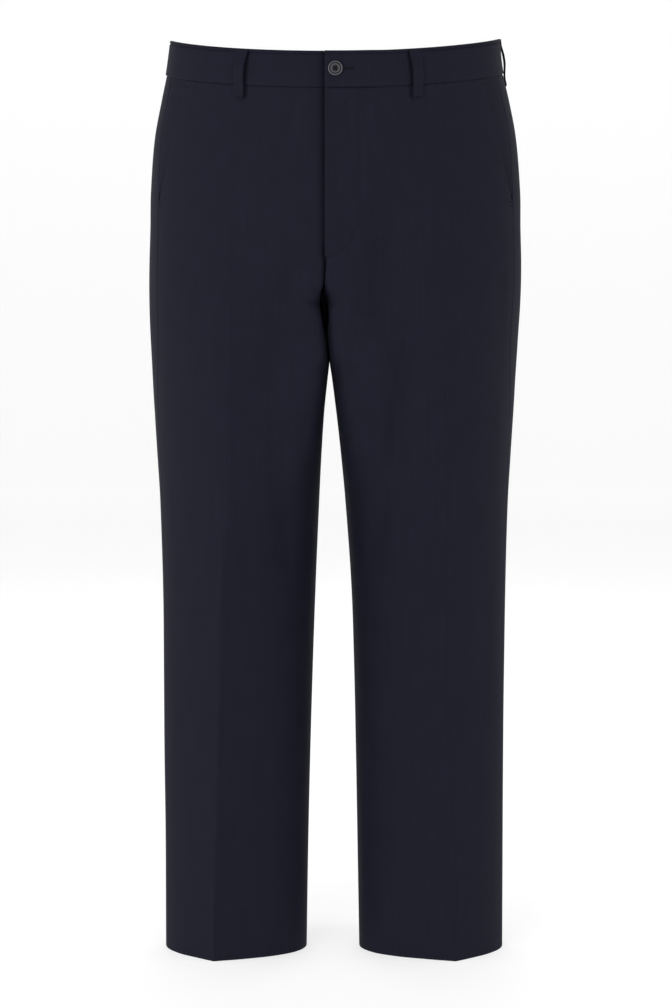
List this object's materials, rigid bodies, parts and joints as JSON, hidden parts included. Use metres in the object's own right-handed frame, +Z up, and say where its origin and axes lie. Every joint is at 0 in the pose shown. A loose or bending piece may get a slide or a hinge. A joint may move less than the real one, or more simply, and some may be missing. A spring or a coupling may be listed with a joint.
{
  "type": "dress pants",
  "caption": "Straight-leg dress trousers in plain dark cloth, filled out as worn, open at the waist and hems, with pressed creases, a lapped fly, slant pockets and belt loops.",
  "frame": {"origin": "centre of the waist, half way up the waistband, where the wearer's waist holds the trousers up", "axes": "+Z up along the wearer, -Y to the wearer's front, +X to the wearer's left"},
  "size_m": [0.4233, 0.3012, 1.0425],
  "materials": {
    "suiting": "very dark navy fine worsted twill, matte with a faint sheen where it turns away",
    "button": "dark navy-black polyester button, satin polish",
    "thread": "dark navy sewing thread"
  },
  "bodies": {
    "root": {"front_right": "suiting", "front_left": "suiting", "back_right": "suiting", "back_left": "suiting", "pocket_facing_right": "suiting", "pocket_facing_left": "suiting", "fly_placket": "suiting", "waistband_right": "suiting", "waistband_left": "suiting", "waist_button": "button", "button_shank": "thread", "belt_loop_front_right": "suiting", "belt_loop_front_left": "suiting", "belt_loop_side_right": "suiting", "belt_loop_side_left": "suiting", "belt_loop_back_right": "suiting", "belt_loop_back_left": "suiting", "belt_loop_back_centre": "suiting"}
  },
  "joints": []
}
